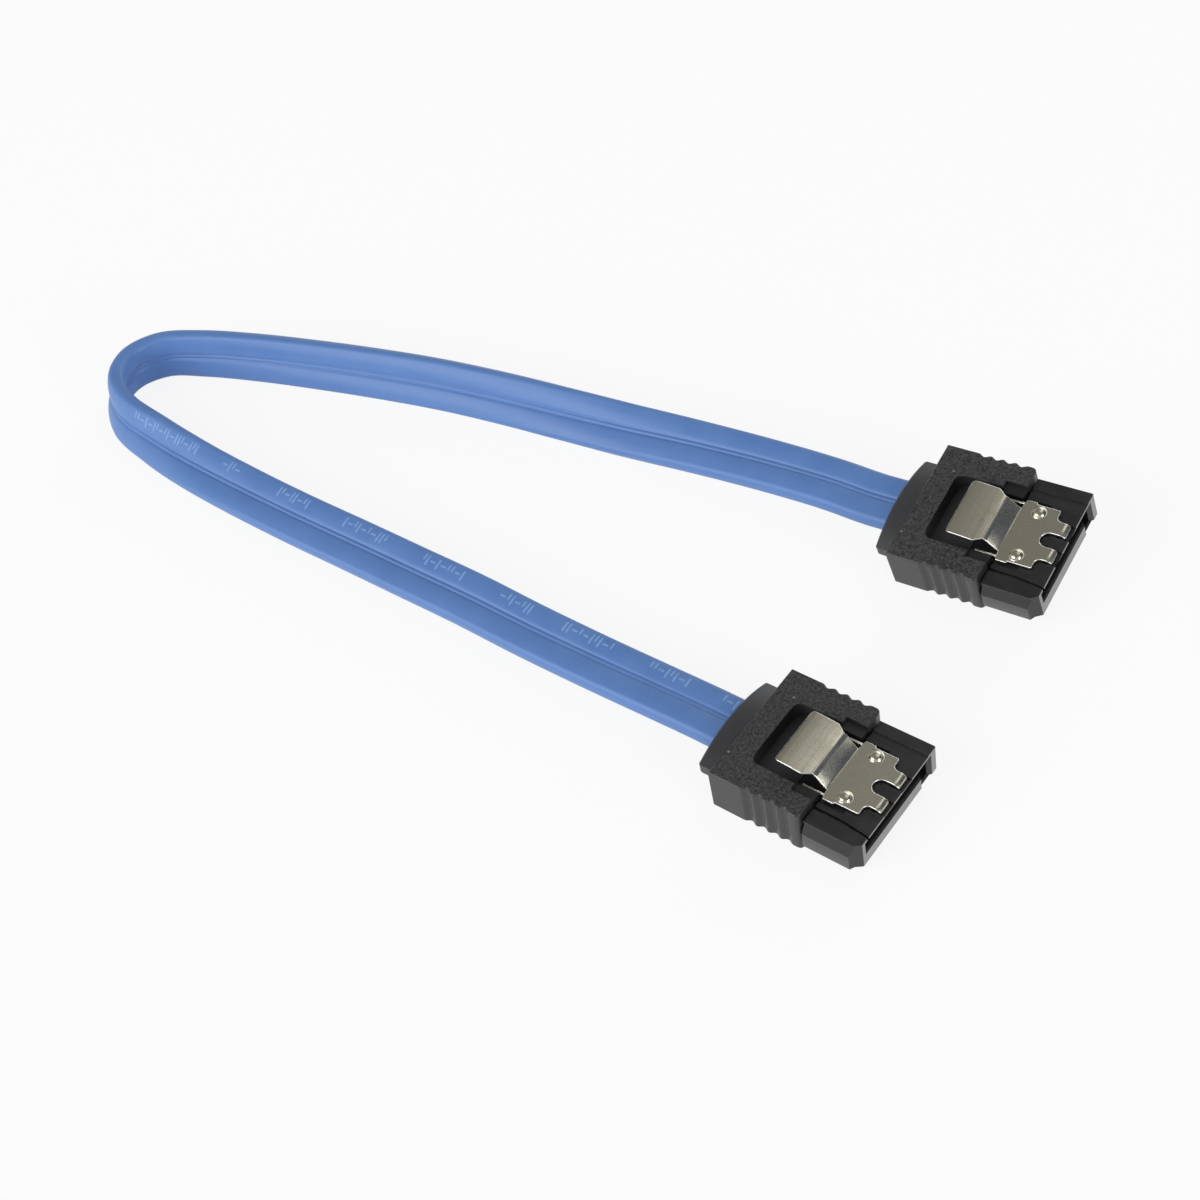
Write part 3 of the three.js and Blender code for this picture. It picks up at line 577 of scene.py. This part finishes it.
def gripMaterial(values):
    material, shaderNodes, links = newMaterial("gripPlastic")
    shader = shaderNodes["Principled BSDF"]
    geometry = shaderNodes.new("ShaderNodeNewGeometry")
    parts = shaderNodes.new("ShaderNodeSeparateXYZ")
    links.new(geometry.outputs["True Normal"], parts.inputs["Vector"])
    level = addMath(shaderNodes, links, "ABSOLUTE", parts.outputs["Z"])
    onFace = addRange(shaderNodes, links, level, values["faceSpan"])
    grain = addNoise(shaderNodes, links, values["grainScale"], 3)
    pits = addRange(shaderNodes, links, grain.outputs["Fac"], values["pitSpan"])
    tone = addMix(shaderNodes, links, pits, values["colour"], values["grainColour"])
    addTone(shaderNodes, links, onFace, values["sideColour"], tone)
    rough = addRange(shaderNodes, links, onFace, (0, 1), (values["sideRoughness"], values["roughness"]))
    links.new(rough, shader.inputs["Roughness"])
    share = addRange(shaderNodes, links, onFace, (0, 1), (values["sideGrain"], 1))
    height = addMath(shaderNodes, links, "MULTIPLY", pits, share)
    edge = addSoftEdge(shaderNodes, values["edge"])
    normal = addBump(shaderNodes, links, height, values["grainStrength"], values["grainDepth"], edge)
    links.new(normal, shader.inputs["Normal"])
    return material


def housingMaterial(name, values, polished=False, front=False):
    # Glossy filled plastic with faint flow marks along the plug
    material, shaderNodes, links = newMaterial(name)
    shader = shaderNodes["Principled BSDF"]
    shader.inputs["IOR"].default_value = values["polishedIndex" if polished else "index"]
    if front:
        shader.inputs["Coat Weight"].default_value = values["frontCoat"]
        shader.inputs["Coat IOR"].default_value = values["frontCoatIndex"]
        shader.inputs["Coat Roughness"].default_value = values["polishedRoughness"][0]
    flow = addNoise(shaderNodes, links, values["flowScale"], 3, values["flowStretch"])
    roughSpan = values["polishedRoughness" if polished else "roughness"]
    rough = addRange(shaderNodes, links, flow.outputs["Fac"], values["flowSpan"], roughSpan)
    links.new(rough, shader.inputs["Roughness"])
    tone = addRange(shaderNodes, links, flow.outputs["Fac"], values["flowSpan"])
    addTone(shaderNodes, links, tone, darkened(values["colour"], values["flowDark"]), values["colour"])
    grain = addNoise(shaderNodes, links, values["grainScale"], 3)
    edge = addSoftEdge(shaderNodes, values["edge"])
    strength, depth = values["grainStrength"], values["grainDepth"]
    normal = addBump(shaderNodes, links, grain.outputs["Fac"], strength, depth, edge)
    links.new(normal, shader.inputs["Normal"])
    return material


def plainMaterial(name, values):
    material, shaderNodes, links = newMaterial(name)
    shader = shaderNodes["Principled BSDF"]
    grain = addNoise(shaderNodes, links, values["grainScale"], 3)
    tone = addRange(shaderNodes, links, grain.outputs["Fac"], plainGrain["span"])
    addTone(shaderNodes, links, tone, darkened(values["colour"], plainGrain["dark"]), values["colour"])
    shader.inputs["Roughness"].default_value = values["roughness"]
    normal = addBump(shaderNodes, links, grain.outputs["Fac"], values["grain"], plainGrain["depth"])
    links.new(normal, shader.inputs["Normal"])
    return material


# Metals: rolled steel of the latch, gold-flashed contacts and tinned drain wires

steel = {
    "colour": (0.53, 0.505, 0.4),
    "paleColour": (0.63, 0.6, 0.485),
    "roughness": (0.2, 0.29),
    "mottleScale": 5200,
    "rollScale": 700,   # streaks from the rolling mill, along the plug
    "rollStretch": (0.25, 1, 1),
    "toneSpan": (0.75, 1.25),   # of the mottle and the streaks together
    "grainStrength": 0.3,
    "grainDepth": 0.00001,   # m
    "edge": 0.00002,
}
plainMetalGrain = {"scale": 6000, "stretch": (0.2, 1, 1)}
plainMetals = {
    "contact": {"colour": (0.75, 0.52, 0.16), "roughness": 0.24},
    "drain": {"colour": (0.62, 0.63, 0.65), "roughness": 0.35},
}


def steelMaterial(values):
    material, shaderNodes, links = newMaterial("latchSteel")
    shader = shaderNodes["Principled BSDF"]
    shader.inputs["Metallic"].default_value = 1
    mottle = addNoise(shaderNodes, links, values["mottleScale"], 4)
    roll = addNoise(shaderNodes, links, values["rollScale"], 2, values["rollStretch"])
    both = addMath(shaderNodes, links, "ADD", mottle.outputs["Fac"], roll.outputs["Fac"])
    tone = addRange(shaderNodes, links, both, values["toneSpan"])
    addTone(shaderNodes, links, tone, values["colour"], values["paleColour"])
    smooth, rough = values["roughness"]
    links.new(addRange(shaderNodes, links, tone, (0, 1), (rough, smooth)), shader.inputs["Roughness"])
    edge = addSoftEdge(shaderNodes, values["edge"])
    strength, depth = values["grainStrength"], values["grainDepth"]
    normal = addBump(shaderNodes, links, mottle.outputs["Fac"], strength, depth, edge)
    links.new(normal, shader.inputs["Normal"])
    return material


def plainMetal(name, values):
    material, shaderNodes, links = newMaterial(name)
    shader = shaderNodes["Principled BSDF"]
    grain = addNoise(shaderNodes, links, plainMetalGrain["scale"], 2, plainMetalGrain["stretch"])
    tone = addRange(shaderNodes, links, grain.outputs["Fac"], plainGrain["span"])
    addTone(shaderNodes, links, tone, darkened(values["colour"], plainGrain["dark"]), values["colour"])
    shader.inputs["Metallic"].default_value = 1
    shader.inputs["Roughness"].default_value = values["roughness"]
    return material


looks = {
    "grip": gripMaterial(gripLook),
    "housing": housingMaterial("housingPlastic", housingLook),
    "latch": steelMaterial(steel),
}
housingSide = housingMaterial("housingSide", housingLook, polished=True)
housingFront = housingMaterial("housingFront", housingLook, polished=True, front=True)
looks.update({name: plainMaterial(name, values) for name, values in plainLooks.items()})
looks.update({name: plainMetal(name, values) for name, values in plainMetals.items()})
print("stage: materials")


# Latch: one stamped sheet, cut flat, then folded along its length

latch = {   # mm and degrees, in a plug's own frame
    "thickness": 0.25,
    "underside": 4.62,
    "shift": -0.1,
    "foldAt": 0.3,   # where the lever leaves the plate
    "leverFolds": [   # distance back from the fold, and the slope of the lever there
        (0, 0), (0.12, 24), (0.35, 42), (1.0, 49), (1.95, 51), (2.4, 7), (4.6, 5), (5.6, 3),
        (6.15, -24),
    ],
    "curlAt": 5.37,   # where the front tongues curl down
    "tongueFolds": [(0, 0), (0.5, 60), (0.66, 60)],
    "bendSteps": 60,
    "leverCuts": 0.09,   # spacing of the lines that the sheet bends along
    "foldCut": 0.03,   # one more such line, this far behind the fold
    "tongueCuts": (0.11, 5),   # their spacing in the tongues, and how many there are
    "rim": 0.08,   # rounding of the sheared edges
    "cutGlintColour": (0.86, 0.85, 0.8),   # sheared edges, paler than the plate's steel: a painted highlight where they catch the light
    "cutRoughness": 0.36,
    "padHalf": 3.45,
    "neckHalf": 2.85,
    "padCorner": 0.4,
    "neckEnds": (2.2, 3.2),   # distance back from the fold over which the neck widens to the pad
    "padEase": (0.15, 0.03),   # softens the start and the end of that widening
    "neckEase": (0.12, 0.05),
    "plateHalf": 3.75,
    "wingHalf": 3.97,
    "wingFront": 1.65,
    "wingStep": 0.1,
    "wingRoot": (0.02, 0.4, 0.15),   # neck's end behind the fold, inset of the wing there, its slope
    "plateFront": 4.4,
    "earCorner": 0.18,
    "earNotch": 0.55,
    "tongueOuter": 2.46,
    "tongueInner": 0.86,
    "tongueCorner": 0.22,
    "notchMiddle": 4.6,
    "domeX": 2.3,
    "domeY": 2.8,
    "domeHeight": 0.46,
    "domeProfile": [(0.88, 0), (0.8, 0.02), (0.72, 0.1), (0.66, 0.26)],   # radius, share of the height
    "domeSides": 32,
    "domeRings": 8,
    "domeFoot": 0.1,   # the dome's wall runs on this far into the sheet
    "flangeAcross": (3.35, 3.6),
    "flangeAlong": (-2.1, -0.1, 0.45),   # rear, step and front
    "flangeLow": (4.25, 4.62),   # lower edge behind the step and in front of it
    "flangeTop": 4.86,
}
# Sheared edge faces get a paler steel than the plate, a painted highlight of the edges catching the
# light
cutEdgeGlint = plainMetal("cutEdgeGlint", {"colour": latch["cutGlintColour"], "roughness": latch["cutRoughness"]})


def slopeAt(folds, distance):
    for (d0, a0), (d1, a1) in zip(folds, folds[1:]):
        if distance <= d1:
            return math.radians(a0 + (a1 - a0) * (distance - d0) / (d1 - d0))
    return math.radians(folds[-1][1])


def foldedPlace(values, flat):
    # Where a point of the flat blank lies after folding: place and upward direction in x and z
    if values["foldAt"] <= flat <= values["curlAt"]:
        return flat, values["underside"], 0, 1
    back = flat < values["foldAt"]
    start = values["foldAt"] if back else values["curlAt"]
    folds = values["leverFolds"] if back else values["tongueFolds"]
    x, z, reach = start, values["underside"], abs(flat - start)
    onward, steps = -1 if back else 1, values["bendSteps"]
    for k in range(steps):
        slope = slopeAt(folds, (k + 0.5) * reach / steps)
        x += math.cos(slope) * reach / steps * onward
        z -= math.sin(slope) * reach / steps * onward
    slope = slopeAt(folds, reach)
    return x, z, math.sin(slope), math.cos(slope)


def quarter(x, y, radius, start, turn, steps=7):
    # Quarter circle round x, y from the start angle, turning left or right
    angles = (math.radians(start + turn * 90 * k / steps) for k in range(steps + 1))
    return [(x + radius * math.cos(a), y + radius * math.sin(a)) for a in angles]


def blankEnds(values):
    rear = values["foldAt"] - values["leverFolds"][-1][0]
    return rear, values["curlAt"] + values["tongueFolds"][-1][0]


def blankOutline(values):
    # The sheet cut flat, from the rear corner of one side round the front to the other side
    rear, tip = blankEnds(values)
    pad, neck, corner = values["padHalf"], values["neckHalf"], values["padCorner"]
    narrow, wide = (values["foldAt"] - back for back in values["neckEnds"])
    plate, front, fold = values["plateHalf"], values["plateFront"], values["foldAt"]
    ear, notch, round_ = values["earCorner"], values["earNotch"], values["tongueCorner"]
    outer, inner, middle = values["tongueOuter"], values["tongueInner"], values["notchMiddle"]
    wing, wingFront = values["wingHalf"], values["wingFront"]
    gap, inset, slope = values["wingRoot"]
    (padX, padY), (neckX, neckY) = values["padEase"], values["neckEase"]
    half = quarter(rear + corner, pad - corner, corner, 180, -1)
    half += [(wide, pad), (wide + padX, pad - padY), (narrow - neckX, neck + neckY), (narrow, neck)]
    half += [(fold - gap, neck), (fold, plate - inset), (fold + slope, wing)]
    half += [(wingFront, wing), (wingFront + values["wingStep"], plate)]
    half += quarter(front - ear, plate - ear, ear, 90, -1)
    half += quarter(front + notch, outer + notch, notch, 180, 1)
    half += quarter(tip - round_, outer - round_, round_, 90, -1)
    half += quarter(tip - round_, inner + round_, round_, 0, -1)
    half += quarter(middle, 0, inner, 90, 1)
    return half + [(x, -y) for x, y in reversed(half[:-1])]


def cutBlank(values):
    # Flat face with an edge across it wherever it will bend
    blank = bmesh.new()
    blank.faces.new([blank.verts.new((x, y, 0)) for x, y in blankOutline(values)])
    fold, curl, spacing = values["foldAt"], values["curlAt"], values["leverCuts"]
    rear = blankEnds(values)[0]
    cuts = [rear + spacing * k for k in range(1, int((fold - rear) / spacing) + 1)]
    cuts += [fold - values["foldCut"], fold, curl]
    spacing, count = values["tongueCuts"]
    cuts += [curl + spacing * k for k in range(1, count + 1)]
    for cut in cuts:
        everything = blank.verts[:] + blank.edges[:] + blank.faces[:]
        bmesh.ops.bisect_plane(blank, geom=everything, dist=1e-6, plane_co=(cut, 0, 0),
                               plane_no=(1, 0, 0))
    return blank


def makeLatch(name, values, pose):
    blank = cutBlank(values)
    work = bmesh.new()
    layers = []   # each point of the blank becomes one below and one above
    for vertex in blank.verts:
        x, z, nx, nz = foldedPlace(values, vertex.co.x)
        y, t = vertex.co.y + values["shift"], values["thickness"]
        layers.append((work.verts.new((x, y, z)), work.verts.new((x + nx * t, y, z + nz * t))))
    blank.verts.index_update()
    for face in blank.faces:
        around = [vertex.index for vertex in face.verts]
        work.faces.new([layers[k][1] for k in around])
        work.faces.new([layers[k][0] for k in reversed(around)])
    for edge in blank.edges:
        if len(edge.link_faces) == 1:
            a, b = (layers[vertex.index] for vertex in edge.verts)
            # the sheet's sheared edge faces take the paler steel, a painted highlight
            work.faces.new((a[0], b[0], b[1], a[1])).material_index = 1
    blank.free()
    for side in (-1, 1):
        addDome(work, values, side)
        addFlange(work, values, side)
    bmesh.ops.transform(work, matrix=Matrix.Scale(mm, 4) @ pose, verts=work.verts)
    piece = addObject(name, work)
    piece.data.materials.append(looks["latch"])
    piece.data.materials.append(cutEdgeGlint)
    finishShading(piece, values["rim"], 1)
    return piece


def addDome(work, values, side):
    top = values["underside"] + values["thickness"]
    height = values["domeHeight"]
    profile = [(radius, top + share * height) for radius, share in values["domeProfile"]]
    radius, share = values["domeProfile"][-1]
    for k in range(1, values["domeRings"]):
        angle = math.pi / 2 * k / values["domeRings"]
        rise = share + (1 - share) * math.sin(angle)
        profile.append((radius * math.cos(angle), top + height * rise))
    profile.insert(0, (values["domeProfile"][0][0], top - values["domeFoot"]))
    x0, y0 = values["domeX"], side * values["domeY"] + values["shift"]
    count = values["domeSides"]
    angles = [2 * math.pi * k / count for k in range(count)]
    rings = [[work.verts.new((x0 + r * math.cos(a), y0 + r * math.sin(a), z)) for a in angles]
             for r, z in profile]
    joinRings(work, rings)
    work.faces.new(rings[0])
    peak = work.verts.new((x0, y0, top + height))
    for k in range(count):
        work.faces.new((rings[-1][k], rings[-1][(k + 1) % count], peak))


def addFlange(work, values, side):
    # Upright strip under the plate's edge, lower behind its step than in front
    rear, step, front = values["flangeAlong"]
    low, high = values["flangeLow"]
    top = values["flangeTop"]
    outline = [(rear, low), (step, low), (step, high), (front, high), (front, top), (rear, top)]
    rings = [[work.verts.new((x, side * y + values["shift"], z)) for x, z in outline]
             for y in values["flangeAcross"]]
    work.faces.new(rings[0])
    work.faces.new(rings[1])
    joinRings(work, rings)


# Plugs: every CAD node gets its finish; grips and housings are shown as smooth-shaded copies

shading = {
    "smoothBelow": 32,   # degrees between two faces
    "rimAbove": 60,
    "rimSegments": 2,
    "flatWeight": 80,   # how far large faces keep their own shading
    "weld": 1e-7,   # m
    "flatBelow": 0.6,   # degrees: faces in one plane are joined into one
}
mouldMark = {
    "places": [(-8.3, 4.45), (-10.15, -4.4)],   # mm, on top of the grip
    "level": 5.5,
    "radius": 0.13,
    "height": 0.04,
    "divisions": (16, 8),
    "colour": (0.2, 0.2, 0.195),
}
carving = {   # mm, in a plug's own frame
    "shift": -0.1,   # the housing's middle is this far to the side
    "gutterLevel": 4.28,   # floor of the gutter beside the latch in the CAD solid
    "gutterDrop": 0.2,
    "gutterMatch": 0.01,   # how near a point lies to that level to be moved
    "undercutLevel": 3.95,   # foot of the wall below the shoulder
    "undercut": 0.13,
    "wallHalfWidth": 6.95,
    "wallMatch": 0.02,
}
polish = {"upright": 0.4, "front": 0.9, "side": 0.3}   # limits for how far a face looks up and ahead
bossGap = 0.02   # mm behind the block where the boss's finish starts


def finishShading(piece, rim=0, rimMaterial=-1):
    # Rounds the sharp edges and keeps the large faces flat in their shading
    if rim:
        rounding = piece.modifiers.new("rim", "BEVEL")
        rounding.width = rim * mm
        rounding.segments = shading["rimSegments"]
        rounding.limit_method = "ANGLE"
        rounding.angle_limit = math.radians(shading["rimAbove"])
        rounding.material = rimMaterial
        rounding.use_clamp_overlap = False
    flats = piece.modifiers.new("flats", "WEIGHTED_NORMAL")
    flats.keep_sharp = True
    flats.weight = shading["flatWeight"]
    finished = piece.evaluated_get(bpy.context.evaluated_depsgraph_get())
    shown = bpy.data.meshes.new_from_object(finished)
    piece.modifiers.clear()
    piece.data = shown


def smoothCopy(nodeName, pieceName, slotName, pose, change=None):
    # A CAD node's mesh with its faces joined, its points moved by the change, and its finish
    mesh = nodes[nodeName].data.copy()
    for attribute in [a for a in mesh.attributes if a.name == "custom_normal"]:
        mesh.attributes.remove(attribute)
    work = bmesh.new()
    work.from_mesh(mesh)
    bmesh.ops.remove_doubles(work, verts=work.verts, dist=shading["weld"])
    limit = math.radians(shading["flatBelow"])
    bmesh.ops.dissolve_limit(work, angle_limit=limit, verts=work.verts, edges=work.edges)
    if change:
        back = pose.inverted()
        for vertex in work.verts:
            vertex.co = pose @ change(back @ (vertex.co / mm)) * mm
    for face in work.faces:
        face.smooth = True
    limit = math.radians(shading["smoothBelow"])
    for edge in work.edges:
        edge.smooth = len(edge.link_faces) == 2 and edge.calc_face_angle() < limit
    work.to_mesh(mesh)
    work.free()
    mesh.materials.clear()
    mesh.materials.append(looks[slotName])
    piece = bpy.data.objects.new(pieceName, mesh)
    bpy.context.scene.collection.objects.link(piece)
    finishShading(piece)
    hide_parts(nodeName)
    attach(piece, "cable")
    return piece


def carveShell(place):
    # Deepens the gutter, and leans the wall below the shoulder inwards at its foot
    fromMiddle = abs(place.y - carving["shift"])
    wall = abs(fromMiddle - carving["wallHalfWidth"]) < carving["wallMatch"]
    if abs(place.z - carving["gutterLevel"]) < carving["gutterMatch"]:
        place.z -= carving["gutterDrop"]
    elif wall and abs(place.z - carving["undercutLevel"]) < carving["wallMatch"]:
        place.y -= math.copysign(carving["undercut"], place.y)
    return place


def polishSides(piece, pose):
    # Upright faces below the shoulder, and the front round the slot, take their own finishes
    piece.data.materials.append(housingSide)
    piece.data.materials.append(housingFront)
    up, ahead = (pose.to_3x3() @ Vector(axis) for axis in ((0, 0, 1), (1, 0, 0)))
    back = pose.inverted()
    for polygon in piece.data.polygons:
        height = (back @ (polygon.center / mm)).z
        if abs(polygon.normal.dot(up)) >= polish["upright"]:
            continue
        facing = polygon.normal.dot(ahead)
        if facing > polish["front"]:
            polygon.material_index = 2
        elif facing < polish["side"] and height < carving["undercutLevel"]:
            polygon.material_index = 1


def smoothBoss(piece, pose):
    # The boss behind the block is smooth, without the block's grain
    piece.data.materials.append(looks["boss"])
    back = pose.inverted()
    for polygon in piece.data.polygons:
        place = back @ (polygon.center / mm)
        polygon.material_index = 1 if place.x < -ribbon["gripSize"][0] + bossGap else 0


def makeMouldMarks(name, values, pose):
    work = bmesh.new()
    around, down = values["divisions"]
    flatten = Matrix.Diagonal((1, 1, values["height"] / values["radius"], 1))
    for x, y in values["places"]:
        matrix = Matrix.Translation((x, y, values["level"])) @ flatten
        bmesh.ops.create_uvsphere(work, u_segments=around, v_segments=down, radius=values["radius"],
                                  matrix=matrix)
    bmesh.ops.transform(work, matrix=Matrix.Scale(mm, 4) @ pose, verts=work.verts)
    return addObject(name, work)


def dressPlugs():
    slots = {part["node"]: part["material_slot"] for part in frame["record"]["subparts"]}
    for name, node in nodes.items():
        if name != "ribbon_cable":
            for slot in node.material_slots:
                slot.material = looks[slots[name]]
    markLook = plainMaterial("mouldMark", {**plainLooks["inner_mould"], "colour": mouldMark["colour"]})
    for side in ("near", "far"):
        pose = plugPose(ribbon, side == "far")
        smoothBoss(smoothCopy(f"{side}_grip", f"{side}GripSkin", "grip", pose), pose)
        shell = smoothCopy(f"{side}_contact_housing", f"{side}HousingShell", "housing", pose, carveShell)
        polishSides(shell, pose)
        marks = makeMouldMarks(f"{side}MouldMarks", mouldMark, pose)
        marks.data.materials.append(markLook)
        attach(marks, "cable")
        sheet = makeLatch(f"{side}LatchSheet", latch, pose)
        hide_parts(f"{side}_latch")
        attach(sheet, f"{side}_latch")


dressPlugs()
print("stage: plugs")
